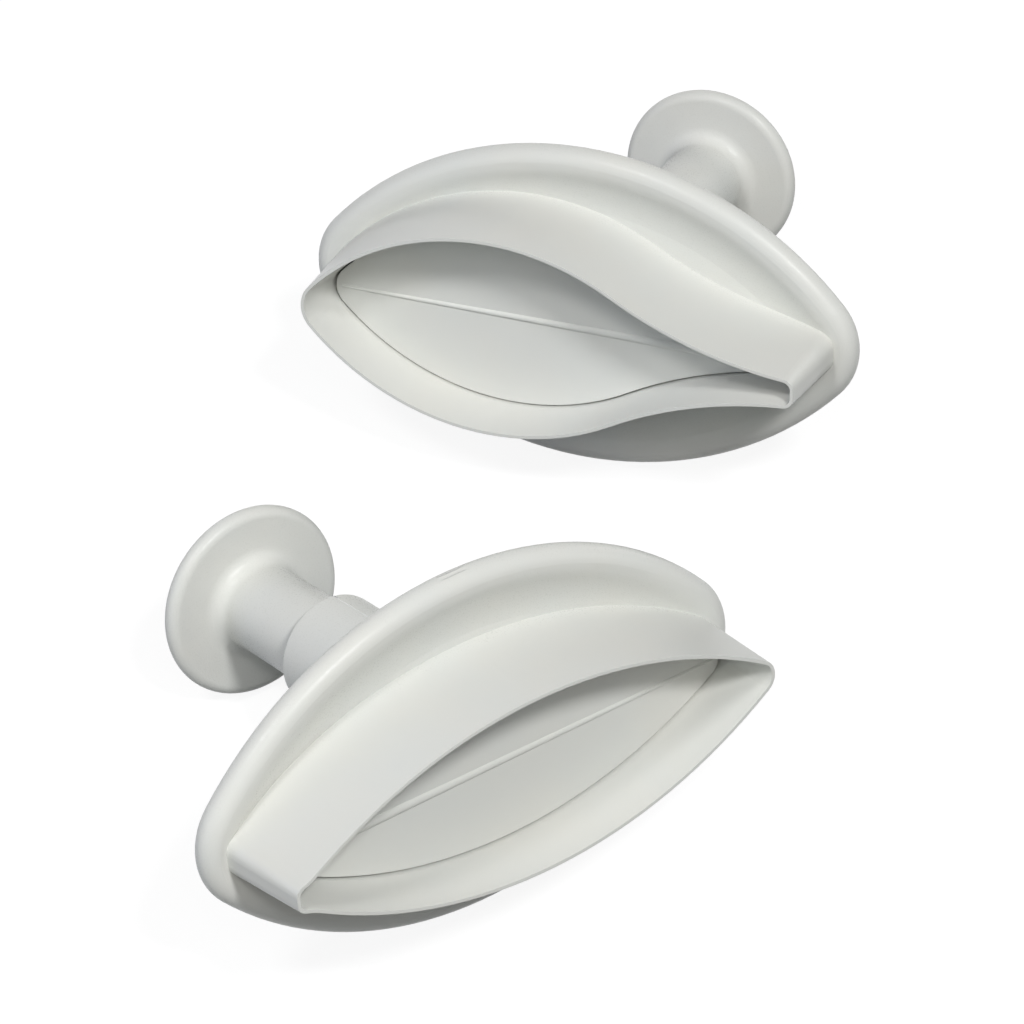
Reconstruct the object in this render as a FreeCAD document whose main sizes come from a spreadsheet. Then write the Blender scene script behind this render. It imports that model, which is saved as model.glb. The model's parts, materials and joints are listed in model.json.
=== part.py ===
"""Petal plunger cutters: a matched pair for sugar paste, lying on the worktop.

Each cutter is a cutter body, an embosser on a stem, a press knob and a return spring.
A cutter is drawn upright in its own frame and then laid down on its flange and its knob:
z = 0 is the cutting plane, +z runs up the plunger to the knob, +x runs to the petal's tip. Millimetres.
"""
import FreeCAD, Part
import math
import os
import Sketcher
from FreeCAD import Placement, Rotation, Vector

# Sizes that both cutters share
SHARED_SIZES = {
    "flange_length": 98.2,
    "flange_width": 56.8,
    "flange_tip_radius": 11.7,
    "rim_radius": 2.4,
    "rim_depth": 18.75,
    "shoulder_radius": 4.7,
    "dish_radius": 17.0,
    "dish_tip_margin": 0.5,
    "web_thickness": 2.15,
    "web_overlap": 0.4,
    "foot_spread": 1.15,
    "edge_land": 0.55,
    "guide_inset": 1.5,
    "mouth_depth": 9.0,
    "corner_radius": 1.9,
    "well_corner_radius": 0.5,
    "gate_length": 6.0,
    "plate_depth": 9.8,
    "plate_thickness": 2.2,
    "plate_clearance": 0.3,
    "plate_stem_gap": 2.2,
    "vein_width": 1.8,
    "vein_height": 0.55,
    "vein_tip_width": 0.6,
    "vein_tip_height": 0.2,
    "vein_margin": 1.0,
    "rib_thickness": 1.6,
    "rib_height": 3.5,
    "rib_margin": 6.0,
    "stop_diameter": 13.0,
    "stem_diameter": 7.0,
    "stem_chamfer": 0.8,
    "stem_clearance": 0.05,
    "stem_end_gap": 0.5,
    "spring_gap": 0.8,
    "spring_bore_gap": 0.4,
    "spring_seat_gap": 0.05,
    "spring_turns": 7.0,
    "wire_diameter": 1.0,
    "close_turns": 1.0,
    "close_gap": 0.5,
    "press_travel": 11.0,
    "neck_wall": 1.4,
    "neck_clearance": 0.08,
    "neck_chamfer": 0.6,
    "neck_exposure": 9.9,
    "collar_wall": 2.22,
    "collar_lip": 0.6,
    "collar_root": 1.5,
    "knob_diameter": 32.0,
    "knob_rim_radius": 1.6,
    "knob_rim_depth": 77.6,
    "flare_radius": 2.5,
    "socket_length": 14.0,
    "crown_thickness": 5.2,
}

# Petal outlines along the petal, from the stem end to the tip, and where each cutter lies (degrees)
PETAL_SIZES = {
    "narrow": {
        "belly_radius": 79.5,
        "belly_half_width": 14.8,
        "belly_station": 0.3,
        "tip_radius": 3.0,
        "plate_tip_blunting": 1.5,
        "flank_radius": 11.5,
        "flank_station": -46.6,
        "stem_station": -44.5,
        "stem_half_width": 1.78,
        "heading": 127.2,
        "lean": 4.35,
        "lie_x": 3.77,
        "lie_y": -98.18,
    },
    "waisted": {
        "belly_radius": 45.2,
        "belly_half_width": 17.65,
        "belly_station": 9.5,
        "tip_radius": 5.4,
        "plate_tip_blunting": 0.5,
        "flank_radius": 75.0,
        "flank_station": -49.2,
        "stem_station": -44.5,
        "stem_half_width": 2.34,
        "heading": 65.0,
        "lean": -4.4,
        "lie_x": 5.2,
        "lie_y": 3.9,
    },
}

# How much of a stem end's half width its corners may take
CORNER_LIMIT = 0.85

# Which side of the petal faces the worktop
SIDE_DOWN = {"narrow": 1, "waisted": -1}

# A sketch's own numbers for a curve's points and for its two axes
START, END, CENTRE = range(1, 4)
X_AXIS, Y_AXIS = range(-1, -3, -1)
ORIGIN = (X_AXIS, START)

# The spring's path is drawn half a turn at a time, and its gap is measured on points along it
STEP = 0.5
POINTS_A_TURN = 48


class Size:
    """A length together with the sheet formula that gives it, so that both are worked out side by side."""

    def __init__(self, value, text):
        self.value = float(value)
        self.text = text

    @staticmethod
    def of(number):
        return number if isinstance(number, Size) else Size(number, repr(float(number)))

    def combine(self, other, sign, value):
        return Size(value, f"({self.text} {sign} {other.text})")

    def __add__(self, other):
        other = Size.of(other)
        return self.combine(other, "+", self.value + other.value)

    def __sub__(self, other):
        other = Size.of(other)
        return self.combine(other, "-", self.value - other.value)

    def __mul__(self, other):
        other = Size.of(other)
        return self.combine(other, "*", self.value * other.value)

    def __truediv__(self, other):
        other = Size.of(other)
        return self.combine(other, "/", self.value / other.value)

    def __rsub__(self, other):
        return Size.of(other) - self

    def __neg__(self):
        return Size(-self.value, f"(-{self.text})")

    def root(self):
        return Size(math.sqrt(self.value), f"sqrt({self.text})")

    def at_most(self, other):
        return Size(min(self.value, other.value), f"min({self.text}; {other.text})")


class Sizes:
    """The sheet of driving sizes, read by attribute: shared ones by name, a petal's own through petal()."""

    def __init__(self, doc):
        self.sheet = doc.addObject("Spreadsheet::Sheet", "Sizes")
        self.known = {}
        rows = list(SHARED_SIZES.items())
        for petal, sizes in PETAL_SIZES.items():
            rows += [(f"{petal}_{name}", value) for name, value in sizes.items()]
        for row, (name, value) in enumerate(rows, start=1):
            self.sheet.set(f"A{row}", name)
            self.sheet.set(f"B{row}", str(value))
            self.sheet.setAlias(f"B{row}", name)
            self.known[name] = Size(value, f"Sizes.{name}")

    def __getattr__(self, name):
        return self.known[name]

    def petal(self, petal, name):
        return self.known[f"{petal}_{name}"]

    # Stations along the plunger, from the flange to the knob

    @property
    def back(self):
        """The flange's flat back, which is also the collar's floor."""
        return self.rim_depth + self.rim_radius

    @property
    def web_depth(self):
        return self.back - self.web_thickness

    @property
    def neck_bottom(self):
        """The neck stands off the collar's floor by the travel, and lands on it at full press."""
        return self.back + self.press_travel

    @property
    def knob_under(self):
        return self.knob_rim_depth - self.knob_rim_radius

    @property
    def knob_top(self):
        return self.knob_rim_depth + self.knob_rim_radius

    @property
    def collar_end(self):
        """The collar leaves the neck its travel, and some more of it in sight at full press."""
        return self.knob_under - self.press_travel - self.neck_exposure

    @property
    def socket_end(self):
        return self.knob_top - self.crown_thickness

    @property
    def spring_ceiling(self):
        return self.socket_end - self.socket_length

    # Radii round the plunger, from the stem outwards

    @property
    def stem(self):
        return self.stem_diameter / 2

    @property
    def coil(self):
        """Radius of the spring's wire line."""
        return self.stem + self.spring_gap + self.wire_diameter / 2

    @property
    def neck_bore(self):
        return self.coil + self.wire_diameter / 2 + self.spring_bore_gap

    @property
    def neck(self):
        return self.neck_bore + self.neck_wall

    @property
    def collar_bore(self):
        return self.neck + self.neck_clearance

    @property
    def collar(self):
        return self.collar_bore + self.collar_wall

    @property
    def dish_width(self):
        """How far the dish reaches in from the flange's edge: almost to the centre of its tip arcs."""
        return self.flange_tip_radius - self.dish_tip_margin


class Outline:
    """A sketch on one of a body's own planes, with each dimension bound to the sheet."""

    def __init__(self, body, name, plane, height=None):
        self.sketch = body.newObject("Sketcher::SketchObject", name)
        planes = {feature.Role: feature for feature in body.Origin.OriginFeatures}
        self.sketch.AttachmentSupport = [(planes[plane], "")]
        self.sketch.MapMode = "FlatFace"
        if height is not None:
            self.sketch.AttachmentOffset = Placement(Vector(0, 0, height.value), Rotation())
            self.sketch.setExpression("AttachmentOffset.Base.z", height.text)

    def line(self, start, end):
        return self.sketch.addGeometry(Part.LineSegment(Vector(*start, 0), Vector(*end, 0)))

    def arc(self, centre, start, end):
        """An arc about a centre, counter-clockwise from one point to the other."""
        first = math.atan2(start[1] - centre[1], start[0] - centre[0])
        last = math.atan2(end[1] - centre[1], end[0] - centre[0])
        radius = math.dist(start, centre)
        circle = Part.Circle(Vector(*centre, 0), Vector(0, 0, 1), radius)
        return self.sketch.addGeometry(Part.ArcOfCircle(circle, first, last))

    def circle(self, size):
        circle = Part.Circle(Vector(0, 0, 0), Vector(0, 0, 1), size.value)
        index = self.sketch.addGeometry(circle)
        self.add("Coincident", index, CENTRE, *ORIGIN)
        self.bind("Radius", size, index)
        return index

    def add(self, kind, *where):
        return self.sketch.addConstraint(Sketcher.Constraint(kind, *where))

    def bind(self, kind, size, *where):
        """Add a dimension and tie it to the sheet."""
        index = self.add(kind, *where, size.value)
        self.sketch.setExpression(f"Constraints[{index}]", size.text)

    def place(self, point, across=None, up=None):
        """Set a point's distances from the sketch's origin."""
        if across is not None:
            self.bind("DistanceX", across, *ORIGIN, *point)
        if up is not None:
            self.bind("DistanceY", up, *ORIGIN, *point)

    def polygon(self, corners):
        """Closed straight outline through corners given as pairs of sizes."""
        corners = [(Size.of(across), Size.of(up)) for across, up in corners]
        spots = [(across.value, up.value) for across, up in corners]
        lines = [self.line(spots[i], spots[(i + 1) % len(spots)]) for i in range(len(spots))]
        for i, index in enumerate(lines):
            self.add("Coincident", index, END, lines[(i + 1) % len(lines)], START)
            self.place((index, START), *corners[i])
        return lines


class PetalCurve:
    """A petal's arcs: a tip, a fore and an aft belly arc that meet at its widest point, and a hollow flank.

    The aft arc's radius follows from the flank, which comes down to the stem's half width where it runs
    parallel to the petal, a little beyond the stem end.
    """

    def __init__(self, sizes, petal):
        def own(name):
            return sizes.petal(petal, name)

        self.belly_x, self.half_width = own("belly_station"), own("belly_half_width")
        self.fore, self.tip = own("belly_radius"), own("tip_radius")
        self.flank, self.flank_x = own("flank_radius"), own("flank_station")
        self.stem_x = own("stem_station")
        run, drop = self.belly_x - self.flank_x, self.half_width - own("stem_half_width")
        self.aft = (run * run + drop * drop) / (drop * 2) - self.flank
        self.fore_y, self.aft_y = self.half_width - self.fore, self.half_width - self.aft
        self.flank_y = own("stem_half_width") + self.flank

    def tip_x(self, blunting):
        """Where the tip arc's centre is when its radius is larger by the blunting."""
        reach = self.fore - self.tip - blunting
        return self.belly_x + (reach * reach - self.fore_y * self.fore_y).root()

    def stem_half_width(self, inset, stem_x):
        """Half the width of the flat stem end of an inset outline."""
        radius, along = self.flank + inset, stem_x - self.flank_x
        return self.flank_y - (radius * radius - along * along).root()


def petal_outline(body, name, sizes, petal, height, inset, corner, blunting=Size.of(0)):
    """Closed petal, inset from the cutting edge: flat stem end with round corners, flanks, belly and tip.

    blunting is added to the tip's radius.
    """
    curve = PetalCurve(sizes, petal)
    fore, aft = curve.fore - inset, curve.aft - inset
    flank, tip = curve.flank + inset, curve.tip - inset + blunting
    stem_x = curve.stem_x + inset
    corner = corner.at_most(curve.stem_half_width(inset, stem_x) * CORNER_LIMIT)

    c = corner.value
    fore_at, aft_at = [(curve.belly_x.value, up.value) for up in (curve.fore_y, curve.aft_y)]
    flank_at = (curve.flank_x.value, curve.flank_y.value)
    tip_at = (curve.tip_x(blunting).value, 0.0)
    corner_x = stem_x.value + c
    corner_y = flank_at[1] - math.sqrt((flank.value + c) ** 2 - (corner_x - flank_at[0]) ** 2)
    corner_at = (corner_x, corner_y)

    def between(start, end, share):
        return tuple(s + (e - s) * share for s, e in zip(start, end))

    def below(spot):
        return (spot[0], -spot[1])

    stem_top = (stem_x.value, corner_y)
    corner_end = between(corner_at, flank_at, c / (c + flank.value))
    flank_end = between(aft_at, flank_at, aft.value / (aft.value + flank.value))
    crown = (fore_at[0], fore_at[1] + fore.value)
    tip_start = between(fore_at, tip_at, fore.value / (fore.value - tip.value))

    outline = Outline(body, name, "XY_Plane", height)
    edge = outline.line(stem_top, below(stem_top))
    corner_low = outline.arc(below(corner_at), below(stem_top), below(corner_end))
    flank_low = outline.arc(below(flank_at), below(flank_end), below(corner_end))
    aft_low = outline.arc(below(aft_at), below(flank_end), below(crown))
    fore_low = outline.arc(below(fore_at), below(crown), below(tip_start))
    tip_arc = outline.arc(tip_at, below(tip_start), tip_start)
    fore_top = outline.arc(fore_at, tip_start, crown)
    aft_top = outline.arc(aft_at, crown, flank_end)
    flank_top = outline.arc(flank_at, corner_end, flank_end)
    corner_top = outline.arc(corner_at, corner_end, stem_top)

    joins = [
        (edge, END, corner_low, START),
        (corner_low, END, flank_low, END),
        (flank_low, START, aft_low, START),
        (fore_low, END, tip_arc, START),
        (tip_arc, END, fore_top, START),
        (aft_top, END, flank_top, END),
        (flank_top, START, corner_top, START),
        (corner_top, END, edge, START),
    ]
    for join in joins:
        outline.add("Tangent", *join)
    for radius, *arcs in (
        (corner, corner_low, corner_top), (flank, flank_low, flank_top), (aft, aft_low, aft_top),
        (fore, fore_low, fore_top), (tip, tip_arc),
    ):
        for index in arcs:
            outline.bind("Radius", radius, index)
    outline.place((edge, START), across=stem_x)
    for fore_arc, fore_end, aft_arc, aft_end, flank_arc, side in (
        (fore_top, END, aft_top, START, flank_top, 1), (fore_low, START, aft_low, END, flank_low, -1),
    ):
        outline.add("Coincident", fore_arc, fore_end, aft_arc, aft_end)
        outline.place((fore_arc, fore_end), curve.belly_x, (curve.half_width - inset) * side)
        outline.place((fore_arc, CENTRE), across=curve.belly_x)
        outline.place((aft_arc, CENTRE), across=curve.belly_x)
        outline.place((flank_arc, CENTRE), across=curve.flank_x)
    return outline.sketch


def flange_arcs(sizes):
    """Half distance between the flange's tip centres, and the radius of its long sides."""
    half_width = sizes.flange_width / 2
    tip = sizes.flange_tip_radius
    tip_x = sizes.flange_length / 2 - tip
    side = (tip_x * tip_x + half_width * half_width - tip * tip) / ((half_width - tip) * 2)
    return tip_x, side


def flange_outline(body, name, sizes, height, inset):
    """Closed lens of two long arcs and two tip arcs. The top arc is in two halves that meet on the y axis."""
    tip_x, side = flange_arcs(sizes)
    tip = sizes.flange_tip_radius - inset
    side_y = sizes.flange_width / 2 - side
    side = side - inset

    right, left = (tip_x.value, 0.0), (-tip_x.value, 0.0)
    above, under = (0.0, side_y.value), (0.0, -side_y.value)
    share = side.value / (side.value - tip.value)
    join_x = tip_x.value * share
    join_y = side_y.value * (1 - share)
    crown = (0.0, side_y.value + side.value)

    outline = Outline(body, name, "XY_Plane", height)
    top_left = outline.arc(above, crown, (-join_x, join_y))
    tip_left = outline.arc(left, (-join_x, join_y), (-join_x, -join_y))
    low = outline.arc(under, (-join_x, -join_y), (join_x, -join_y))
    tip_right = outline.arc(right, (join_x, -join_y), (join_x, join_y))
    top_right = outline.arc(above, (join_x, join_y), crown)
    chain = [top_left, tip_left, low, tip_right, top_right]
    for first, second in zip(chain, chain[1:]):
        outline.add("Tangent", first, END, second, START)
    outline.add("Coincident", top_right, END, top_left, START)
    outline.add("Coincident", top_right, CENTRE, top_left, CENTRE)
    outline.add("PointOnObject", top_left, START, Y_AXIS)
    outline.bind("Radius", side, low)
    outline.bind("Radius", side, top_left)
    for index, across in ((tip_left, -tip_x), (tip_right, tip_x)):
        outline.bind("Radius", tip, index)
        outline.place((index, CENTRE), across=across)
        outline.add("PointOnObject", index, CENTRE, X_AXIS)
    return outline.sketch


def rim_section(body, sizes):
    """Section of the flange at its crown: round rim, shoulder and shallow dish in front, flat behind."""
    edge = sizes.flange_width / 2
    rim, back = sizes.rim_radius, sizes.back
    crest = sizes.rim_depth - rim
    rim_y = edge - rim
    inner_y = edge - sizes.dish_width
    shoulder, dish = sizes.shoulder_radius, sizes.dish_radius

    # The dish's centre stands off the shoulder's by both radii and off the inner end by its own
    shoulder_at = (rim_y.value, crest.value + shoulder.value)
    inner_at = (inner_y.value, sizes.web_depth.value)
    reach = shoulder.value + dish.value
    gap = math.dist(shoulder_at, inner_at)
    along = (reach ** 2 - dish.value ** 2 + gap ** 2) / (2 * gap)
    aside = math.sqrt(reach ** 2 - along ** 2)
    ahead = tuple((i - s) / gap for s, i in zip(shoulder_at, inner_at))
    dish_at = (
        shoulder_at[0] + along * ahead[0] - aside * ahead[1],
        shoulder_at[1] + along * ahead[1] + aside * ahead[0],
    )
    turn = tuple(s + (d - s) * shoulder.value / reach for s, d in zip(shoulder_at, dish_at))

    outline = Outline(body, "rim_section", "YZ_Plane")
    crest_at = (rim_y.value, crest.value)
    back_at = (rim_y.value, back.value)
    inner_back = (inner_y.value, back.value)
    round_edge = outline.arc((rim_y.value, sizes.rim_depth.value), crest_at, back_at)
    behind = outline.line(back_at, inner_back)
    inner = outline.line(inner_back, inner_at)
    hollow = outline.arc(dish_at, turn, inner_at)
    shoulder_arc = outline.arc(shoulder_at, turn, crest_at)
    outline.add("Tangent", round_edge, END, behind, START)
    outline.add("Coincident", behind, END, inner, START)
    outline.add("Coincident", inner, END, hollow, END)
    outline.add("Tangent", hollow, START, shoulder_arc, START)
    outline.add("Tangent", shoulder_arc, END, round_edge, START)
    outline.add("Horizontal", behind)
    outline.add("Vertical", inner)
    outline.bind("Radius", rim, round_edge)
    outline.bind("Radius", shoulder, shoulder_arc)
    outline.bind("Radius", dish, hollow)
    outline.place((round_edge, CENTRE), rim_y, sizes.rim_depth)
    outline.place((shoulder_arc, CENTRE), across=rim_y)
    outline.place((inner, END), inner_y, sizes.web_depth)
    return outline.sketch


def new_body(doc, label):
    body = doc.addObject("PartDesign::Body", label)
    body.Label = label
    return body


def pad(body, name, sketch, length):
    feature = body.newObject("PartDesign::Pad", name)
    feature.Profile = sketch
    feature.Length = length.value
    feature.setExpression("Length", length.text)


def pocket(body, name, sketch, length):
    """Cut along the sketch's normal: upwards from a level sketch, outwards from one in a long side."""
    feature = body.newObject("PartDesign::Pocket", name)
    feature.Profile = sketch
    feature.Length = length.value
    feature.setExpression("Length", length.text)
    feature.Reversed = True


def loft(body, kind, name, first, *others):
    feature = body.newObject(f"PartDesign::{kind}", name)
    feature.Profile = first
    feature.Sections = list(others)
    feature.Ruled = True


def revolve(body, name, sketch):
    feature = body.newObject("PartDesign::Revolution", name)
    feature.Profile = sketch
    feature.ReferenceAxis = (sketch, ["V_Axis"])
    feature.Angle = 360


def collar_section(body, sizes):
    """Half section of the collar tube: bore, rounded lip and a flared root on the flange's back."""
    outside, bore, back = sizes.collar, sizes.collar_bore, sizes.back
    root, lip, end = sizes.collar_root, sizes.collar_lip, sizes.collar_end
    sunk = sizes.web_depth + sizes.web_thickness / 2

    outline = Outline(body, "collar_section", "XZ_Plane")
    spots = {
        "foot": (outside + root, sunk),
        "root": (outside + root, back),
        "side": (outside, back + root),
        "lip": (outside, end - lip),
        "rim": (outside - lip, end),
        "bore": (bore, end),
        "floor": (bore, back),
        "inner": (bore - root, back),
        "sunk": (bore - root, sunk),
    }
    at = {name: (across.value, up.value) for name, (across, up) in spots.items()}
    base = outline.line(at["sunk"], at["foot"])
    step = outline.line(at["foot"], at["root"])
    flare = outline.arc((at["root"][0], at["side"][1]), at["side"], at["root"])
    side = outline.line(at["side"], at["lip"])
    rounding = outline.arc((at["rim"][0], at["lip"][1]), at["lip"], at["rim"])
    mouth = outline.line(at["rim"], at["bore"])
    wall = outline.line(at["bore"], at["floor"])
    floor = outline.line(at["floor"], at["inner"])
    inner = outline.line(at["inner"], at["sunk"])
    joins = [
        (base, END, step, START), (step, END, flare, END), (flare, START, side, START),
        (side, END, rounding, START), (rounding, END, mouth, START), (mouth, END, wall, START),
        (wall, END, floor, START), (floor, END, inner, START), (inner, END, base, START),
    ]
    for join in joins:
        outline.add("Coincident", *join)
    for index, name in (
        (base, "sunk"), (step, "foot"), (side, "side"), (rounding, "lip"), (mouth, "rim"), (wall, "bore"),
        (floor, "floor"), (inner, "inner"),
    ):
        outline.place((index, START), *spots[name])
    outline.place((step, END), *spots["root"])
    outline.bind("Radius", root, flare)
    outline.bind("Radius", lip, rounding)
    return outline.sketch


def gate_cut(body, sizes):
    """Trim the moulding gate off the middle of a long side, which leaves a small flat on the flange's rim."""
    _, side = flange_arcs(sizes)
    half = sizes.gate_length / 2
    depth = side - (side * side - half * half).root()
    edge = sizes.flange_width / 2
    low, high = sizes.rim_depth - sizes.rim_radius, sizes.back
    cut = Outline(body, "gate_outline", "XZ_Plane", edge - depth)
    cut.polygon([(-half, low), (half, low), (half, high), (-half, high)])
    pocket(body, "gate_cut", cut.sketch, depth)


def cutter_body(doc, sizes, petal):
    """One moulding: rolled-rim flange, drafted petal wall with a thin cutting edge, and the collar behind."""
    body = new_body(doc, f"{petal}_cutter_body")
    zero, web_depth, web = Size.of(0), sizes.web_depth, sizes.web_thickness

    rim = body.newObject("PartDesign::AdditivePipe", "rim")
    rim.Profile = rim_section(body, sizes)
    rim.Spine = flange_outline(body, "flange_path", sizes, None, zero)

    web_inset = sizes.dish_width - sizes.web_overlap
    pad(body, "web", flange_outline(body, "web_outline", sizes, web_depth, web_inset), web)

    foot_depth = web_depth + web / 2
    spread = sizes.foot_spread * foot_depth / web_depth
    corner, well_corner = sizes.corner_radius, sizes.well_corner_radius
    edge = petal_outline(body, "cutting_edge", sizes, petal, zero, zero, corner)
    foot = petal_outline(body, "wall_foot", sizes, petal, foot_depth, -spread, corner + spread)
    loft(body, "AdditiveLoft", "wall", edge, foot)

    revolve(body, "collar", collar_section(body, sizes))

    land, guide = sizes.edge_land, sizes.guide_inset
    mouth = petal_outline(body, "mouth_edge", sizes, petal, zero, land, corner - land)
    throat = petal_outline(body, "mouth_throat", sizes, petal, sizes.mouth_depth, guide, well_corner)
    floor = petal_outline(body, "well_floor", sizes, petal, web_depth, guide, well_corner)
    loft(body, "SubtractiveLoft", "well", mouth, throat, floor)

    hole = Outline(body, "stem_hole", "XY_Plane", web_depth)
    hole.circle(sizes.stem + sizes.stem_clearance)
    pocket(body, "stem_guide", hole.sketch, web)
    gate_cut(body, sizes)
    return body


def stem_section(body, sizes):
    """Half section of the stop shoulder and the stem, with a lead-in chamfer."""
    stem, stop = sizes.stem, sizes.stop_diameter / 2
    root = sizes.plate_depth + sizes.plate_thickness / 2
    end, cut = sizes.socket_end - sizes.stem_end_gap, sizes.stem_chamfer
    outline = Outline(body, "stem_section", "XZ_Plane")
    outline.polygon([
        (0, root), (stop, root), (stop, sizes.web_depth), (stem, sizes.web_depth),
        (stem, end - cut), (stem - cut, end), (0, end),
    ])
    return outline.sketch


def vein_section(body, name, sizes, station, width, height):
    """Half-round section of the vein across the plate's face, rooted inside the plate."""
    half = width / 2
    face = sizes.plate_depth
    root = face + sizes.plate_thickness / 2
    radius = (half * half + height * height) / (height * 2)
    centre = face - height + radius
    outline = Outline(body, name, "YZ_Plane", station)
    left, right = (-half.value, face.value), (half.value, face.value)
    crown = outline.arc((0.0, centre.value), left, right)
    down = outline.line(right, (half.value, root.value))
    across = outline.line((half.value, root.value), (-half.value, root.value))
    up = outline.line((-half.value, root.value), left)
    chain = [crown, down, across, up]
    for first, second in zip(chain, chain[1:] + chain[:1]):
        outline.add("Coincident", first, END, second, START)
    outline.bind("Radius", radius, crown)
    outline.place((crown, START), -half, face)
    outline.place((crown, END), half, face)
    outline.place((across, START), half, root)
    outline.place((across, END), -half, root)
    return outline.sketch


def embosser(doc, sizes, petal):
    """Petal plate with a tapered vein in front; behind it a stiffening rib, the stop shoulder and the stem."""
    body = new_body(doc, f"{petal}_embosser")
    inset = sizes.guide_inset + sizes.plate_clearance
    depth, blunting = sizes.plate_depth, sizes.petal(petal, "plate_tip_blunting")
    corner = sizes.well_corner_radius
    face = petal_outline(body, "plate_outline", sizes, petal, depth, inset, corner, blunting)
    pad(body, "plate", face, sizes.plate_thickness)

    curve = PetalCurve(sizes, petal)
    plate_end = curve.tip_x(blunting) + curve.tip + blunting - inset
    plate_start = curve.stem_x + inset + sizes.plate_stem_gap
    trim = Outline(body, "plate_trim_outline", "XY_Plane", depth)
    left, side = curve.stem_x, curve.half_width
    trim.polygon([(left, -side), (plate_start, -side), (plate_start, side), (left, side)])
    pocket(body, "plate_trim", trim.sketch, sizes.plate_thickness)

    vein_start, vein_end = plate_start + sizes.vein_margin, plate_end - sizes.vein_margin
    thick = vein_section(body, "vein_root", sizes, vein_start, sizes.vein_width, sizes.vein_height)
    thin = vein_section(body, "vein_tip", sizes, vein_end, sizes.vein_tip_width, sizes.vein_tip_height)
    loft(body, "AdditiveLoft", "vein", thick, thin)

    rib_start = plate_start + sizes.rib_margin
    rib_end = plate_end - sizes.rib_margin
    half = sizes.rib_thickness / 2
    rib = Outline(body, "rib_outline", "XY_Plane", sizes.plate_depth + sizes.plate_thickness / 2)
    rib.polygon([(rib_start, -half), (rib_end, -half), (rib_end, half), (rib_start, half)])
    pad(body, "rib", rib.sketch, sizes.plate_thickness / 2 + sizes.rib_height)

    revolve(body, "stem", stem_section(body, sizes))
    return body


def knob_section(body, sizes):
    """Half section of the knob: hollow neck, small flare, round-rimmed press disc and the stem's socket."""
    neck, bore, socket = sizes.neck, sizes.neck_bore, sizes.stem
    rim, flare, cut = sizes.knob_rim_radius, sizes.flare_radius, sizes.neck_chamfer
    disc = sizes.knob_diameter / 2 - rim
    bottom, under, top = sizes.neck_bottom, sizes.knob_under, sizes.knob_top
    spots = {
        "bottom": (bore, bottom),
        "chamfer": (neck - cut, bottom),
        "neck": (neck, bottom + cut),
        "flare": (neck, under - flare),
        "under": (neck + flare, under),
        "disc": (disc, under),
        "rim": (disc, top),
        "crown": (Size.of(0), top),
        "axis": (Size.of(0), sizes.socket_end),
        "socket": (socket, sizes.socket_end),
        "mouth": (socket, sizes.spring_ceiling),
        "ceiling": (bore, sizes.spring_ceiling),
    }
    at = {name: (across.value, up.value) for name, (across, up) in spots.items()}
    flare_at = (at["under"][0], at["flare"][1])
    rim_at = (at["disc"][0], at["disc"][1] + rim.value)
    outline = Outline(body, "knob_section", "XZ_Plane")
    names = list(spots)
    edges = {}
    for name, after in zip(names, names[1:] + names[:1]):
        if name == "flare":
            edges[name] = (outline.arc(flare_at, at["under"], at["flare"]), END, START)
        elif name == "disc":
            edges[name] = (outline.arc(rim_at, at["disc"], at["rim"]), START, END)
        else:
            edges[name] = (outline.line(at[name], at[after]), START, END)
    for name, after in zip(names, names[1:] + names[:1]):
        index, _, last = edges[name]
        follower, first, _ = edges[after]
        outline.add("Coincident", index, last, follower, first)
        outline.place((follower, first), *spots[after])
    outline.bind("Radius", flare, edges["flare"][0])
    outline.place((edges["disc"][0], CENTRE), across=disc)
    return outline.sketch


def plunger_knob(doc, sizes, petal):
    """Press knob, turned about the plunger's axis."""
    body = new_body(doc, f"{petal}_plunger_knob")
    revolve(body, "knob", knob_section(body, sizes))
    return body


def corner_arc(start, corner, end):
    """Arc that touches both equal legs of a corner at their ends."""
    half = (start + end) * 0.5
    leg, chord, height = (corner - start).Length, (end - half).Length, (corner - half).Length
    radius = leg * chord / height
    bulge = radius - math.sqrt(radius ** 2 - chord ** 2)
    return Part.Arc(start, half + (corner - half).normalize() * bulge, end).toShape()


def biarc(start, start_way, end, end_way):
    """Two arcs that leave start and reach end along the given directions and meet smoothly between."""
    chord = end - start
    square = 2 * (1 - start_way.dot(end_way))
    slope = 2 * chord.dot(start_way + end_way)
    reach = (math.sqrt(slope ** 2 + 4 * square * chord.dot(chord)) - slope) / (2 * square)
    first = start + start_way * reach
    last = end - end_way * reach
    middle = (first + last) * 0.5
    return [corner_arc(start, first, middle), corner_arc(middle, last, end)]


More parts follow.
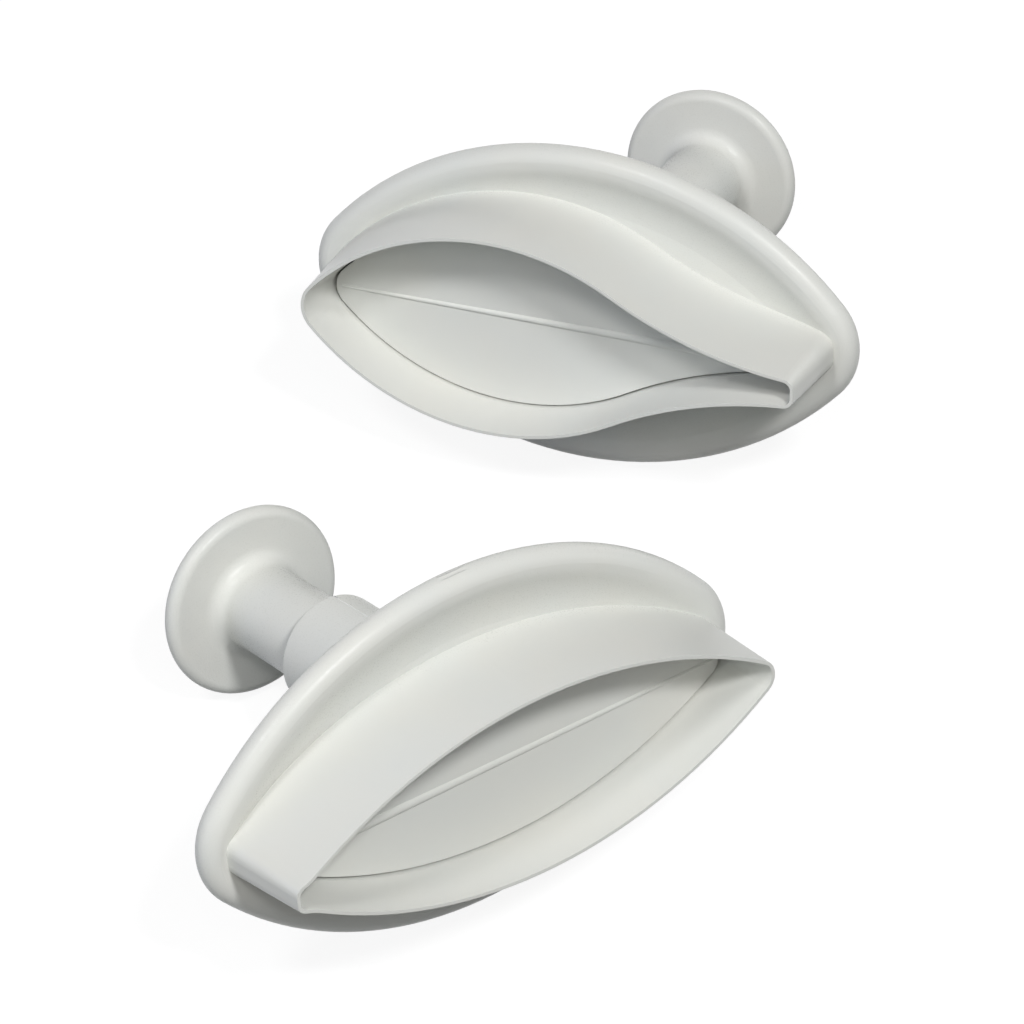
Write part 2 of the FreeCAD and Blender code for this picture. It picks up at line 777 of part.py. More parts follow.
def return_spring(doc, sizes, petal):
    """Steel coil round the stem, from the collar's floor to the neck's ceiling, with close end turns."""
    wire, radius = sizes.wire_diameter.value, sizes.coil.value
    seat = wire / 2 + sizes.spring_seat_gap.value
    low = sizes.back.value + seat
    high = sizes.spring_ceiling.value - seat
    turns, close = sizes.spring_turns.value, sizes.close_turns.value
    close_rise = wire + sizes.close_gap.value
    open_rise = (high - low - 2 * close * close_rise) / (turns - 2 * close)

    def height(turn):
        if turn < close:
            return low + close_rise * turn
        if turn > turns - close:
            return high - close_rise * (turns - turn)
        return low + close_rise * close + open_rise * (turn - close)

    def spot(turn):
        angle = 2 * math.pi * turn
        return Vector(radius * math.cos(angle), radius * math.sin(angle), height(turn))

    def way(turn):
        angle = 2 * math.pi * turn
        climb = (height(turn + STEP) - height(turn - STEP)) / (2 * STEP) / (2 * math.pi)
        return Vector(-radius * math.sin(angle), radius * math.cos(angle), climb).normalize()

    stations = [step * STEP for step in range(round(turns / STEP) + 1)]
    edges = []
    for turn, after in zip(stations, stations[1:]):
        edges += biarc(spot(turn), way(turn), spot(after), way(after))
    path = Part.Wire(edges)
    section = Part.Wire([Part.Circle(spot(0), way(0), wire / 2).toShape()])
    coil = doc.addObject("Part::Feature", f"{petal}_return_spring")
    coil.Label = f"{petal}_return_spring"
    coil.Shape = path.makePipeShell([section], True, False)

    points = path.discretize(Number=round(turns * POINTS_A_TURN))
    apart = round(POINTS_A_TURN / 2)
    gaps = [points[i].distanceToPoint(other) for i in range(len(points)) for other in points[i + apart:]]
    print(f"{coil.Label}: least gap between turns {min(gaps) - wire:.2f} mm")
    return coil


def lying(sizes, petal):
    """Placement of a cutter that lies on its flange's rim and its knob's rim, rolled a little by its lean."""
    _, side = flange_arcs(sizes)
    lean = math.radians(sizes.petal(petal, "lean").value)
    heading = math.radians(sizes.petal(petal, "heading").value)
    half_width = sizes.flange_width.value / 2
    reach = side.value - (side.value - half_width) * math.cos(lean)
    rim, knob_rim = sizes.rim_radius.value, sizes.knob_rim_radius.value
    length = sizes.knob_under.value + knob_rim - sizes.rim_depth.value
    drop = (reach - rim) - (sizes.knob_diameter.value / 2 - knob_rim)
    tilt = math.atan2(drop, length) + math.asin((rim - knob_rim) / math.hypot(drop, length))
    height = (reach - rim) * math.cos(tilt) + rim + sizes.rim_depth.value * math.sin(tilt)

    up = Vector(0, 0, 1)
    ahead = Vector(math.cos(heading), math.sin(heading), 0)
    axis = ahead * math.cos(tilt) - up * math.sin(tilt)
    side_way = (up * math.cos(tilt) + ahead * math.sin(tilt)) * -SIDE_DOWN[petal]
    tip_way = side_way.cross(axis)
    turn = Rotation(tip_way, side_way, axis, "ZXY")
    spin = Rotation(Vector(0, 0, 1), math.degrees(lean))
    spot = Vector(sizes.petal(petal, "lie_x").value, sizes.petal(petal, "lie_y").value, height)
    return Placement(spot, turn.multiply(spin))


def check(doc, pieces):
    doc.recompute()
    for item in doc.Objects:
        if {"Invalid", "Error"} & set(item.State):
            raise RuntimeError(f"{item.Label} failed: {item.State}")
    for piece in pieces:
        shape = piece.Shape
        if shape.isNull() or not shape.isValid() or len(shape.Solids) != 1:
            raise RuntimeError(f"{piece.Label} is not one sound solid")


def main():
    doc = FreeCAD.newDocument("petal_plunger_cutters")
    sizes = Sizes(doc)
    doc.recompute()
    pieces = []
    for petal in PETAL_SIZES:
        cutter = [make(doc, sizes, petal) for make in (cutter_body, embosser, plunger_knob, return_spring)]
        pose = lying(sizes, petal)
        for piece in cutter:
            piece.Placement = pose
        pieces += cutter
    check(doc, pieces)

    # The set's origin is under the middle of its box, on the worktop
    box = FreeCAD.BoundBox()
    for piece in pieces:
        box.add(piece.Shape.optimalBoundingBox(False, False))
    shift = Vector(-box.Center.x, -box.Center.y, -box.ZMin)
    for piece in pieces:
        piece.Placement = Placement(shift, Rotation()).multiply(piece.Placement)
    check(doc, pieces)

    os.makedirs("parts", exist_ok=True)
    for piece in pieces:
        piece.Shape.exportStep(f"parts/{piece.Label}.step")
        print(f"{piece.Label}: volume {piece.Shape.Volume:.1f} mm3")


main()
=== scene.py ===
"""Looks of two petal plunger cutters that lie on a white worktop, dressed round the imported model.

Everything is in metres and in the model's own frame: X to the camera's right, Y away from it, Z up.
Each cutter also has a frame of its own: x to the petal's tip, z from the cutting edge to the knob.
"""

import json
import logging
import math
from collections.abc import Mapping, Sequence
from dataclasses import dataclass
from enum import Enum
from typing import Any

import bpy
import numpy as np
from mathutils import Matrix, Vector

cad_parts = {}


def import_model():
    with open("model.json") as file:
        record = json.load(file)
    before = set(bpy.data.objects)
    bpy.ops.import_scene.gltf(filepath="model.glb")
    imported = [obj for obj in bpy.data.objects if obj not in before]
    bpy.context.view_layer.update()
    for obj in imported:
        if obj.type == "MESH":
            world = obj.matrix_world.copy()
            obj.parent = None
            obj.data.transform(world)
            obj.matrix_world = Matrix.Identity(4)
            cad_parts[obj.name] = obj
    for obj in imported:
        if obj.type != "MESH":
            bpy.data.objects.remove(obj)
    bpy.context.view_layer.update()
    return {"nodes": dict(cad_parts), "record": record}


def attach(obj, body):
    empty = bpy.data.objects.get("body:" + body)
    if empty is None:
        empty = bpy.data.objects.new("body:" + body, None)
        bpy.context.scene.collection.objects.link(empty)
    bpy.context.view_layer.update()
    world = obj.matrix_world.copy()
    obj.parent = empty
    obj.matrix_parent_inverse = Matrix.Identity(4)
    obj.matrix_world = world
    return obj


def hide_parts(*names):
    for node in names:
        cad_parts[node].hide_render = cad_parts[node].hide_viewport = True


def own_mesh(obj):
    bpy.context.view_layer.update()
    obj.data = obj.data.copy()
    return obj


LOG = logging.getLogger("plunger_cutters")
MILLIMETRE = 0.001
PHOTO_PIXELS = 1024
WHITE = (1.0, 1.0, 1.0, 1.0)


class Petal(Enum):
    """The two petal shapes of the set."""

    NARROW = "narrow"
    WAISTED = "waisted"


class Moulding(Enum):
    """The three plastic mouldings of a cutter."""

    BODY = "cutter_body"
    EMBOSSER = "embosser"
    KNOB = "plunger_knob"


class Slot(Enum):
    """The record's material slots."""

    PLASTIC = "white_plastic"
    STEEL = "spring_steel"


class Signal:
    """A shader socket that can be used in Python arithmetic."""

    def __init__(self, graph: "Graph", socket: bpy.types.NodeSocket) -> None:
        """Keep the socket and the graph that it belongs to."""
        self.graph = graph
        self.socket = socket

    def _math(self, operation: str, first: Any, second: Any) -> "Signal":
        """One Math node of two inputs."""
        node = self.graph.node("ShaderNodeMath", {"operation": operation}, {0: first, 1: second})
        return self.graph.out(node)

    def __add__(self, other: Any) -> "Signal":
        """This value plus another."""
        return self._math("ADD", self, other)

    def __sub__(self, other: Any) -> "Signal":
        """This value less another."""
        return self._math("SUBTRACT", self, other)

    def __rsub__(self, other: Any) -> "Signal":
        """Another value less this one."""
        return self._math("SUBTRACT", other, self)

    def __mul__(self, other: Any) -> "Signal":
        """This value times another."""
        return self._math("MULTIPLY", self, other)

    def __truediv__(self, other: Any) -> "Signal":
        """This value divided by another."""
        return self._math("DIVIDE", self, other)

    __radd__ = __add__
    __rmul__ = __mul__

    def at_most(self, other: Any) -> "Signal":
        """The smaller of this value and another."""
        return self._math("MINIMUM", self, other)

    def at_least(self, other: Any) -> "Signal":
        """The larger of this value and another."""
        return self._math("MAXIMUM", self, other)

    def limited(self) -> "Signal":
        """This value, kept from zero to one."""
        return self.at_least(0.0).at_most(1.0)

    def size(self) -> "Signal":
        """This value without its sign."""
        return self.at_least(self * -1.0)


class Graph:
    """The node tree of a material or of the world, emptied and ready to be filled."""

    def __init__(self, tree: bpy.types.NodeTree) -> None:
        """Take the tree and remove its nodes."""
        self.tree = tree
        self.tree.nodes.clear()

    def node(
        self,
        kind: str,
        settings: Mapping[str, Any] | None = None,
        inputs: Mapping[str | int, Any] | None = None,
    ) -> bpy.types.Node:
        """Add one node.

        Args:
            kind: Blender's name of the node's type.
            settings: The node's own properties, set first.
            inputs: Values, or signals to link, by the name or number of the socket.

        Returns:
            The new node.
        """
        node = self.tree.nodes.new(kind)
        for key, value in (settings or {}).items():
            setattr(node, key, value)
        for key, value in (inputs or {}).items():
            if isinstance(value, Signal):
                self.tree.links.new(value.socket, node.inputs[key])
            else:
                node.inputs[key].default_value = value
        return node

    def out(self, node: bpy.types.Node, output: str | int = 0) -> Signal:
        """One output of a node, as a signal."""
        return Signal(self, node.outputs[output])

    def noise(self, place: Signal, scale: float, detail: float = 2.0) -> Signal:
        """A cloudy value around one half.

        Args:
            place: The coordinates that it is read at.
            scale: Clouds per unit of those coordinates.
            detail: Octaves of finer cloud on top.

        Returns:
            The noise value.
        """
        settings = {"noise_dimensions": "3D", "normalize": True}
        node = self.node("ShaderNodeTexNoise", settings, {"Vector": place, "Scale": scale, "Detail": detail})
        return self.out(node, "Fac")

    def blend(self, amount: Signal, low: Sequence[float], high: Sequence[float]) -> Signal:
        """A colour between two.

        Args:
            amount: How far to go from the first to the second, from 0 to 1.
            low: The first colour.
            high: The second colour.

        Returns:
            The mixed colour.
        """
        settings = {"data_type": "RGBA", "clamp_factor": True}
        node = self.node("ShaderNodeMix", settings, {0: amount, 6: tuple(low), 7: tuple(high)})
        return self.out(node, 2)

    def seen_directly(self) -> Signal:
        """Tell a direct look from stray light.

        Returns:
            One where the camera, a reflection or a look through glass meets the surface, else zero.
        """
        path = self.node("ShaderNodeLightPath")
        rays = [self.out(path, f"Is {kind} Ray") for kind in ("Camera", "Glossy", "Transmission")]
        return (rays[0] + rays[1] + rays[2]).at_most(1.0)


@dataclass(frozen=True)
class CutterPose:
    """Where one cutter lies: the middle of its cutting edge, and its own axes as the columns of a matrix."""

    origin: np.ndarray
    axes: np.ndarray

    @classmethod
    def from_record(cls, record: Mapping[str, Any], petal: Petal, sizes: "CutterSizes") -> "CutterPose":
        """Work the pose out from two mounts.

        The press face lies on the plunger's axis, and the rim mount lies over the petal's widest point, so
        the two give the axis, the origin on it and the direction of the tip.

        Args:
            record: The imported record.
            petal: Which cutter.
            sizes: Its sizes.

        Returns:
            The cutter's pose.
        """
        mounts = {mount["name"]: mount for mount in record["mounts"]}
        press = mounts[f"{petal.value}_press_face"]
        rim = np.array(mounts[f"{petal.value}_cutting_rim"]["pos_m"])
        up = np.array(press["axis"]) / np.linalg.norm(press["axis"])
        origin = np.array(press["pos_m"]) - up * sizes.press_face * MILLIMETRE
        reach = rim - origin
        reach = reach - up * (reach @ up)
        along, across = sizes.rim_mount
        x_axis = along * reach - across * np.cross(up, reach)
        x_axis = x_axis / np.linalg.norm(x_axis)
        return cls(origin, np.column_stack([x_axis, np.cross(up, x_axis), up]))

    def to_model(self, points: np.ndarray) -> np.ndarray:
        """Points in the cutter's own millimetres, taken to metres in the model's frame."""
        return self.origin + (points * MILLIMETRE) @ self.axes.T


@dataclass(frozen=True)
class CutterSizes:
    """The sizes of one cutter, in millimetres, that its finish and small pieces are placed by."""

    rim_mount: tuple[float, float]
    press_face: float = 79.2
    flange_back: float = 21.15
    collar_radius: float = 9.4
    collar_root: float = 1.5
    collar_end: float = 55.1
    collar_lip: float = 0.6
    spring_ceiling: float = 60.0
    coil_radius: float = 4.8
    wire_radius: float = 0.5
    travel: float = 11.0


def grid_faces(rows: int, columns: int, start: int = 0) -> np.ndarray:
    """Four-sided faces of a grid that closes round its columns.

    Args:
        rows: Rings along the path.
        columns: Points round each ring.
        start: Number of the first point.

    Returns:
        One row of four point numbers for each face, turned outwards.
    """
    row, column = np.meshgrid(np.arange(rows - 1), np.arange(columns), indexing="ij")
    after = (column + 1) % columns
    here, above = row * columns, (row + 1) * columns
    return start + np.stack([here + column, here + after, above + after, above + column], -1).reshape(-1, 4)


def carried_profile(path: np.ndarray, side: np.ndarray, rise: np.ndarray, profile: np.ndarray) -> np.ndarray:
    """A closed profile carried along a path.

    Point (i, j) is the path's point i, plus the profile's first value j times the side direction there, plus
    its second value times the rise direction there.

    Args:
        path: Points along the path.
        side: Unit directions for the profile's first value.
        rise: Unit directions for the profile's second value.
        profile: The profile's points, as pairs.

    Returns:
        The points, ring after ring.
    """
    points = path[:, None] + profile[None, :, :1] * side[:, None] + profile[None, :, 1:] * rise[:, None]
    return points.reshape(-1, 3)


def add_piece(
    name: str,
    points: np.ndarray,
    rows: int,
    columns: int,
    material: bpy.types.Material,
) -> bpy.types.Object:
    """Make an object from a carried profile, with a flat cap at each end.

    Args:
        name: The piece's name.
        points: Its points in the model's frame, ring after ring.
        rows: Rings along the path.
        columns: Points round each ring.
        material: Its finish.

    Returns:
        The new object, at the origin.
    """
    ring = np.arange(columns)
    faces = grid_faces(rows, columns).tolist() + [ring[::-1].tolist(), (ring + (rows - 1) * columns).tolist()]
    mesh = bpy.data.meshes.new(name)
    mesh.from_pydata(points.tolist(), [], faces)
    mesh.polygons.foreach_set("use_smooth", np.arange(len(faces)) < len(faces) - 2)
    mesh.materials.append(material)
    mesh.update()
    piece = bpy.data.objects.new(name, mesh)
    bpy.context.scene.collection.objects.link(piece)
    return piece


@dataclass(frozen=True)
class GateScar:
    """The scar on the flange's rim where the moulding gate was cut off, in the cutter's own millimetres."""

    length: float = 5.6
    width: float = 1.2
    rise: float = 0.28
    place: float = 18.5
    side: float = -27.0

    def relief(self, graph: Graph, place: Signal) -> Signal:
        """The scar's height: a nick along the rim with a burr beside it, on one long side only.

        Across the scar, the height is the rise times the offset from its middle, times one less that offset
        squared. It fades over the last millimetre at each end.

        Args:
            graph: The graph to add nodes to.
            place: The point's place in the cutter's frame.

        Returns:
            The height in millimetres.
        """
        split = graph.node("ShaderNodeSeparateXYZ", {}, {0: place})
        along, across, depth = (graph.out(split, axis) for axis in "XYZ")
        ends = (self.length / 2.0 - along.size()).limited()
        offset = (depth - self.place) / (self.width / 2.0)
        swell = offset * (1.0 - offset * offset).at_least(0.0)
        return swell * ends * (self.side - across).limited() * self.rise


@dataclass(frozen=True)
class SatinPlastic:
    """White moulded plastic: a faint cloudy tint, eased edges, a smooth cutting end and a grained handle end.

    Lengths are in millimetres, rates are per millimetre and gloss values are the shader's roughness. The
    grain starts at a depth from the cutting edge and is full after its run.
    """

    cool: tuple[float, float, float, float] = (0.702, 0.714, 0.688, 1.0)
    warm: tuple[float, float, float, float] = (0.722, 0.722, 0.684, 1.0)
    cloud: float = 16.0
    cloud_octaves: float = 3.0
    cloud_contrast: float = 2.2
    refraction: float = 1.49
    specular: float = 0.25
    smooth_gloss: float = 0.33
    grained_gloss: float = 0.36
    patch_rate: float = 0.35
    patch_octaves: float = 4.0
    patch_spread: float = 0.10
    grain: float = 0.26
    grain_depth: float = 0.022
    grain_spread: float = 0.7
    grain_start: float = 15.0
    grain_run: float = 3.0
    wave_rate: float = 0.16
    wave_height: float = 0.05
    edge: float = 0.07
    edge_samples: int = 6

    def material(self, name: str, pose: CutterPose, scar: GateScar | None = None) -> bpy.types.Material:
        """The finish for one moulding of one cutter.

        Args:
            name: The material's name.
            pose: The cutter's pose, which the pattern lies along.
            scar: The moulding's gate scar, if it shows one.

        Returns:
            The new material.
        """
        material = bpy.data.materials.new(name)
        material.use_nodes = True
        graph = Graph(material.node_tree)
        place = own_place(graph, pose)

        clouds = graph.noise(place, 1.0 / self.cloud, self.cloud_octaves)
        tint = graph.blend((clouds - 0.5) * self.cloud_contrast + 0.5, self.cool, self.warm)
        patches = graph.noise(place, self.patch_rate, self.patch_octaves)
        specks = graph.noise(place, 1.0 / self.grain, detail=1.0)
        depth = graph.out(graph.node("ShaderNodeSeparateXYZ", {}, {0: place}), "Z")
        grained = ((depth - self.grain_start) / self.grain_run).limited()
        gloss = grained * (self.grained_gloss - self.smooth_gloss) + self.smooth_gloss
        uneven = (patches - 0.5) * self.patch_spread + (specks - 0.5) * grained * self.grain_spread

        rounding = {"Radius": self.edge * MILLIMETRE}
        eased = graph.node("ShaderNodeBevel", {"samples": self.edge_samples}, rounding)
        waves = graph.noise(place, self.wave_rate, detail=1.0)
        height = specks * grained * self.grain_depth + waves * self.wave_height
        if scar:
            height = height + scar.relief(graph, place)
        relief = graph.node("ShaderNodeBump", {}, {
            "Strength": 1.0,
            "Distance": MILLIMETRE,
            "Height": height,
            "Normal": graph.out(eased),
        })
        shader = graph.node("ShaderNodeBsdfPrincipled", {}, {
            "Base Color": tint,
            "Roughness": gloss + uneven,
            "IOR": self.refraction,
            "Specular IOR Level": self.specular,
            "Normal": graph.out(relief),
        })
        graph.node("ShaderNodeOutputMaterial", {}, {"Surface": graph.out(shader)})
        return material


@dataclass(frozen=True)
class SpringWire:
    """Drawn spring steel: bright, with fine draw lines and a little dulling. Rates are per millimetre."""

    bright: tuple[float, float, float, float] = (0.62, 0.63, 0.65, 1.0)
    dull: tuple[float, float, float, float] = (0.46, 0.46, 0.47, 1.0)
    dulling_rate: float = 0.9
    dulling_octaves: float = 3.0
    gloss: float = 0.32
    line_rate: float = 9.0
    line_height: float = 0.01
    line_spread: float = 0.2

    def material(self, name: str, pose: CutterPose) -> bpy.types.Material:
        """The finish for one spring.

        Args:
            name: The material's name.
            pose: The pose of the cutter that it sits in.

        Returns:
            The new material.
        """
        material = bpy.data.materials.new(name)
        material.use_nodes = True
        graph = Graph(material.node_tree)
        place = own_place(graph, pose)
        dulling = graph.noise(place, self.dulling_rate, self.dulling_octaves)
        lines = graph.noise(place, self.line_rate)
        relief = graph.node("ShaderNodeBump", {}, {
            "Strength": 1.0,
            "Distance": MILLIMETRE,
            "Height": lines * self.line_height,
        })
        shader = graph.node("ShaderNodeBsdfPrincipled", {}, {
            "Base Color": graph.blend(dulling, self.bright, self.dull),
            "Metallic": 1.0,
            "Roughness": self.gloss + (lines - 0.5) * self.line_spread,
            "Normal": graph.out(relief),
        })
        graph.node("ShaderNodeOutputMaterial", {}, {"Surface": graph.out(shader)})
        return material


def own_place(graph: Graph, pose: CutterPose) -> Signal:
    """A point's place in its cutter's own frame, in millimetres.

    Args:
        graph: The graph to add nodes to.
        pose: The cutter's pose.

    Returns:
        The place, as a vector.
    """
    turn = Matrix(pose.axes.tolist()).to_euler()
    mapping = graph.node("ShaderNodeMapping", {"vector_type": "TEXTURE"}, {
        "Vector": graph.out(graph.node("ShaderNodeTexCoord"), "Object"),
        "Location": pose.origin.tolist(),
        "Rotation": turn,
        "Scale": (MILLIMETRE,) * 3,
    })
    return graph.out(mapping)


@dataclass
class PetalCutter:
    """One plunger cutter: the dressed mouldings, its return spring and the parting lines on its collar.

    Lengths are in millimetres and angles in degrees.
    """

    petal: Petal
    sizes: CutterSizes
    pose: CutterPose
    nodes: Mapping[str, bpy.types.Object]
    open_turns: float = 5.0
    close_turns: float = 1.0
    close_pitch: float = 1.5
    pitch_easing: float = 10.0
    seat_gap: float = 0.05
    coil_rings: int = 721
    wire_points: int = 12
    seam_angle: float = -81.0
    seam_width: float = 0.30
    seam_height: float = 0.12
    seam_gloss: float = 0.34
    seam_rings: int = 24
    seam_points: int = 9

    def dress(self) -> None:
        """Give each plastic moulding its finish."""
        for moulding in Moulding:
            name = f"{self.petal.value}_{moulding.value}"
            scar = GateScar() if moulding is Moulding.BODY else None
            material = SatinPlastic().material(f"{name}_plastic", self.pose, scar)
            node = self.nodes[name]
            node.data.materials.clear()
            node.data.materials.append(material)
            LOG.info("%s dressed in satin plastic", name)

    def coil_path(self, points: int) -> tuple[np.ndarray, np.ndarray]:
        """The line of the spring's wire.

        The angle grows evenly. The height's slope is the close pitch in the end turns and the open pitch
        between them, eased from one to the other over about a fifth of a turn, and scaled so that the ends
        meet their seats.

        Args:
            points: How many points.

        Returns:
            The points in the cutter's millimetres, and the unit directions from the axis outwards.
        """
        sizes = self.sizes
        turns = self.open_turns + 2 * self.close_turns
        turn = np.linspace(0.0, turns, points)
        seat = sizes.wire_radius + self.seat_gap
        low, high = sizes.flange_back + seat, sizes.spring_ceiling - seat
        inside = np.minimum(turn, turns - turn) - self.close_turns
        opening = 0.5 + 0.5 * np.tanh(inside * self.pitch_easing)
        climb = np.concatenate([[0.0], np.cumsum(0.5 * (opening[1:] + opening[:-1]))])
        closed = self.close_pitch * turn
        height = low + closed + climb / climb[-1] * (high - low - closed[-1])
        angle = 2.0 * np.pi * turn
        out = np.column_stack([np.cos(angle), np.sin(angle), np.zeros(points)])
        return out * sizes.coil_radius + height[:, None] * np.array([0.0, 0.0, 1.0]), out

    def build_spring(self) -> bpy.types.Object:
        """Wind the return spring, which stands for its plain node.

        A circle of the wire's radius is carried along the coil: its first value goes outwards from the axis
        and its second goes across both that and the coil's line.

        Returns:
            The spring.
        """
        sizes, name = self.sizes, f"{self.petal.value}_return_spring"
        rings, around = self.coil_rings, self.wire_points
        path, out = self.coil_path(rings)
        line = np.gradient(path, axis=0)
        line = line / np.linalg.norm(line, axis=1, keepdims=True)
        angle = np.linspace(0.0, 2.0 * np.pi, around, endpoint=False)
        circle = sizes.wire_radius * np.column_stack([np.cos(angle), np.sin(angle)])
        points = self.pose.to_model(carried_profile(path, out, np.cross(line, out), circle))
        material = SpringWire().material(f"{name}_wire", self.pose)
        spring = add_piece(f"{name}_coil", points, rings, around, material)
        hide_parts(name)
        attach(spring, "cutters")
        floor = self.pose.to_model(np.array([0.0, 0.0, sizes.flange_back]))
        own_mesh(spring)
        LOG.info("%s wound with %d rings", spring.name, rings)
        return spring

    def build_seam(self, side: str, angle: float) -> bpy.types.Object:
        """One parting line, a low ridge that runs along the collar.

        The profile is a flat lens: its first value goes round the collar and its second outwards, as a cosine
        bump on top and sunk into the wall below. It is carried straight along the axis.

        Args:
            side: A word for the piece's name.
            angle: Where it lies round the collar, in degrees from the tip.

        Returns:
            The ridge.
        """
        sizes = self.sizes
        rings, across = self.seam_rings, self.seam_points
        start = sizes.flange_back + sizes.collar_root
        end = sizes.collar_end - sizes.collar_lip
        height = np.linspace(start, end, rings)
        turn = math.radians(angle)
        out = np.array([math.cos(turn), math.sin(turn), 0.0])
        around = np.array([-math.sin(turn), math.cos(turn), 0.0])
        path = out * sizes.collar_radius + height[:, None] * np.array([0.0, 0.0, 1.0])
        place = np.linspace(-0.5, 0.5, across)
        top = np.column_stack([place * self.seam_width, self.seam_height * np.cos(place * np.pi)])
        under = np.column_stack([place[::-1] * self.seam_width, np.full(across, -self.seam_height)])
        profile = np.concatenate([top, under])[::-1]
        rows = np.ones((rings, 1))
        points = self.pose.to_model(carried_profile(path, around * rows, out * rows, profile))
        finish = SatinPlastic(grained_gloss=self.seam_gloss)
        material = finish.material(f"{self.petal.value}_{side}_seam_plastic", self.pose)
        seam = add_piece(f"{self.petal.value}_collar_seam_{side}", points, rings, len(profile), material)
        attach(seam, "cutters")
        LOG.info("%s laid along the collar", seam.name)
        return seam

    def build(self) -> None:
        """Make the cutter's own pieces and dress its mouldings."""
        self.dress()
        self.build_spring()
        self.build_seam("near", self.seam_angle)
        self.build_seam("far", self.seam_angle + 180.0)


@dataclass(frozen=True)
class Softbox:
    """A round soft lamp that looks at the middle of the worktop.

    Its azimuth is counted from the camera's side, in degrees. A lamp without a glint isn't seen in
    reflections.
    """

    name: str
    azimuth: float
    elevation: float
    power: float
    colour: tuple[float, float, float] = (1.0, 1.0, 1.0)
    size: float = 0.6
    distance: float = 1.3
    glint: bool = True

    def build(self) -> None:
        """Hang the lamp."""
        azimuth, elevation = math.radians(self.azimuth), math.radians(self.elevation)
        out = Vector((
            math.cos(elevation) * math.sin(azimuth),
            -math.cos(elevation) * math.cos(azimuth),
            math.sin(elevation),
        ))
        light = bpy.data.lights.new(self.name, "AREA")
        light.shape = "DISK"
        light.size = self.size
        light.energy = self.power
        light.color = self.colour
        lamp = bpy.data.objects.new(self.name, light)
        lamp.visible_glossy = self.glint
        lamp.location = out * self.distance
        lamp.rotation_euler = out.to_track_quat("Z", "Y").to_euler()
        bpy.context.scene.collection.objects.link(lamp)
        LOG.info("lamp %s hung", self.name)


@dataclass(frozen=True)
class Worktop:
    """A white worktop that keeps a faint shadow: a diffuse sheet with a glow that only a direct look sees."""

    side: float = 6.0
    drop: float = 0.0002
    colour: tuple[float, float, float, float] = (0.20, 0.20, 0.20, 1.0)
    glow: float = 0.88

    def build(self) -> bpy.types.Object:
        """Lay the worktop.

        Returns:
            The floor object.
        """
        half = self.side / 2.0
        corners = [(-half, -half), (half, -half), (half, half), (-half, half)]
        mesh = bpy.data.meshes.new("worktop")
        mesh.from_pydata([(x, y, -self.drop) for x, y in corners], [], [(0, 1, 2, 3)])
        mesh.materials.append(self.material())
        floor = bpy.data.objects.new("worktop", mesh)
        bpy.context.scene.collection.objects.link(floor)
        LOG.info("worktop laid")
        return floor

    def material(self) -> bpy.types.Material:
        """The worktop's finish.

        Returns:
            The new material.
        """
        material = bpy.data.materials.new("white_worktop")
        material.use_nodes = True
        graph = Graph(material.node_tree)
        sheet = graph.out(graph.node("ShaderNodeBsdfDiffuse", {}, {"Color": self.colour}))
        glow = graph.out(graph.node("ShaderNodeEmission", {}, {"Color": WHITE, "Strength": self.glow}))
        white = graph.out(graph.node("ShaderNodeAddShader", {}, {0: sheet, 1: glow}))
        mixed = graph.node("ShaderNodeMixShader", {}, {0: graph.seen_directly(), 1: sheet, 2: white})
        graph.node("ShaderNodeOutputMaterial", {}, {"Surface": graph.out(mixed)})
        return material


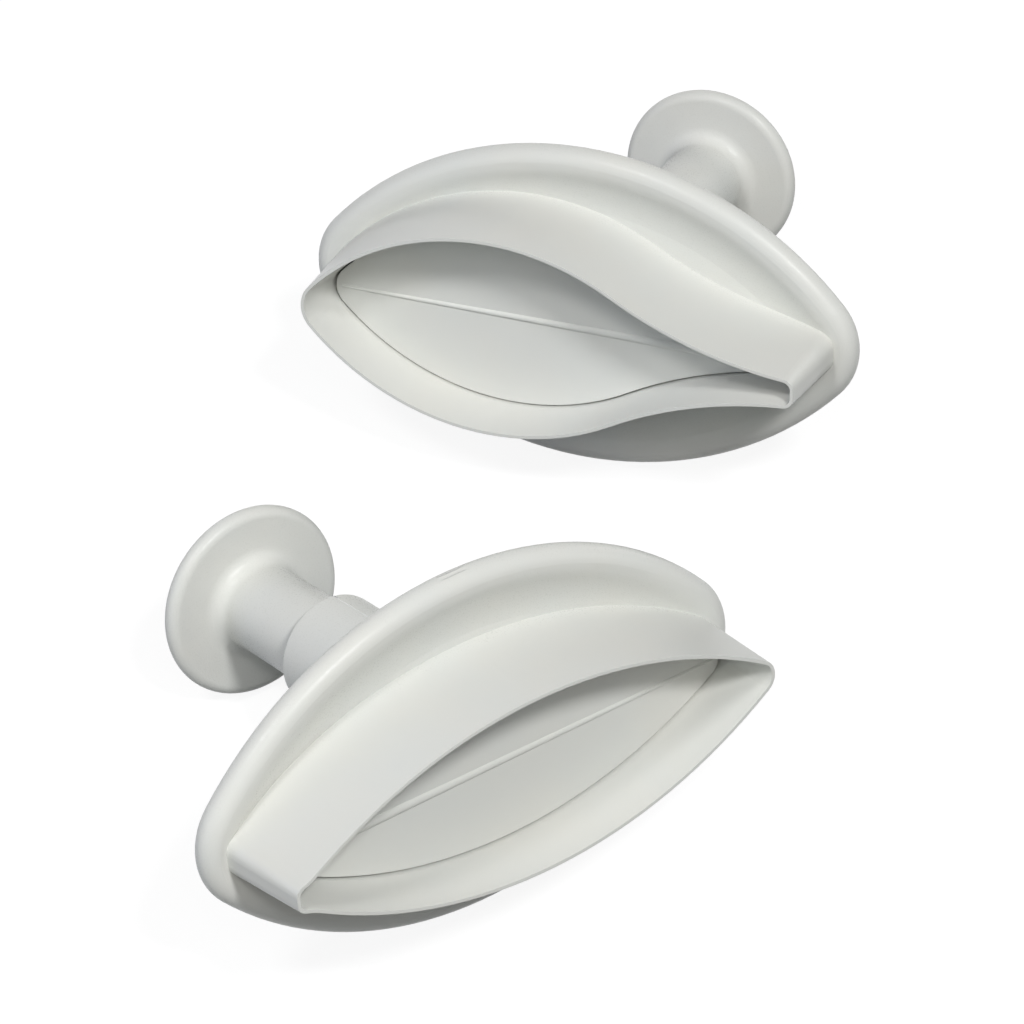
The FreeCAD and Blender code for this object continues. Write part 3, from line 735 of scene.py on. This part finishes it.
@dataclass(frozen=True)
class Camera:
    """The photograph's camera: a long lens that looks down at the worktop."""

    focal_pixels: float = 4375.0
    distance: float = 0.7378
    elevation: float = 40.78
    roll: float = 1.66
    target: tuple[float, float, float] = (-0.0012672, 0.0218465, 0.0)
    sensor: float = 36.0

    def build(self) -> None:
        """Place the camera and make it the scene's."""
        elevation, roll = math.radians(self.elevation), math.radians(self.roll)
        forward = Vector((0.0, math.cos(elevation), -math.sin(elevation)))
        right = Vector((1.0, 0.0, 0.0))
        down = forward.cross(right)
        across = right * math.cos(roll) + down * math.sin(roll)
        below = down * math.cos(roll) - right * math.sin(roll)
        matrix = Matrix((across, -below, -forward)).transposed().to_4x4()
        matrix.translation = Vector(self.target) - forward * self.distance
        lens = bpy.data.cameras.new("photo_camera")
        lens.sensor_width = self.sensor
        lens.lens = self.sensor * self.focal_pixels / PHOTO_PIXELS
        camera = bpy.data.objects.new("photo_camera", lens)
        camera.matrix_world = matrix
        bpy.context.scene.collection.objects.link(camera)
        bpy.context.scene.camera = camera
        LOG.info("camera placed")


@dataclass(frozen=True)
class Studio:
    """The worktop, the lamps, the white surroundings and the camera."""

    worktop: Worktop = Worktop()
    camera: Camera = Camera()
    lamps: tuple[Softbox, ...] = (
        Softbox("key", 32.0, 55.5, 8.6, size=0.22),
        Softbox("front_middle", 5.0, 46.0, 3.2, (1.0, 0.98, 0.95)),
        Softbox("left_high", 315.0, 60.0, 4.4, size=0.25),
        Softbox("left_middle", 300.0, 30.0, 1.0),
        Softbox("right_back", 135.0, 15.0, 1.6),
        Softbox("back_low", 198.0, 9.0, 3.6, size=0.4, glint=False),
        Softbox("right_low", 90.0, 15.0, 1.15, (0.85, 0.96, 1.0)),
        Softbox("left_low", 270.0, 15.0, 1.05, (0.5, 0.55, 1.0)),
        Softbox("left_front_low", 315.0, 15.0, 1.15, (0.78, 0.95, 1.0)),
    )

    def build(self) -> None:
        """Set the studio up round the cutters."""
        self.worktop.build()
        self.build_surroundings()
        for lamp in self.lamps:
            lamp.build()
        self.camera.build()
        bpy.context.scene.view_settings.view_transform = "Standard"

    def build_surroundings(self) -> None:
        """White to a direct look, dark to diffuse light."""
        world = bpy.data.worlds.new("white_surroundings")
        bpy.context.scene.world = world
        world.use_nodes = True
        graph = Graph(world.node_tree)
        background = graph.node("ShaderNodeBackground", {}, {
            "Color": WHITE,
            "Strength": graph.seen_directly(),
        })
        graph.node("ShaderNodeOutputWorld", {}, {"Surface": graph.out(background)})
        LOG.info("surroundings painted")


def main() -> None:
    """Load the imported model, dress both cutters and set the studio up."""
    logging.basicConfig(level=logging.INFO, format="%(message)s")
    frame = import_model()
    sizes = {
        Petal.NARROW: CutterSizes(rim_mount=(0.3, 14.525)),
        Petal.WAISTED: CutterSizes(rim_mount=(9.5, 17.375)),
    }
    for petal in Petal:
        pose = CutterPose.from_record(frame["record"], petal, sizes[petal])
        PetalCutter(petal, sizes[petal], pose, frame["nodes"]).build()
    Studio().build()


if __name__ == "__main__":
    main()
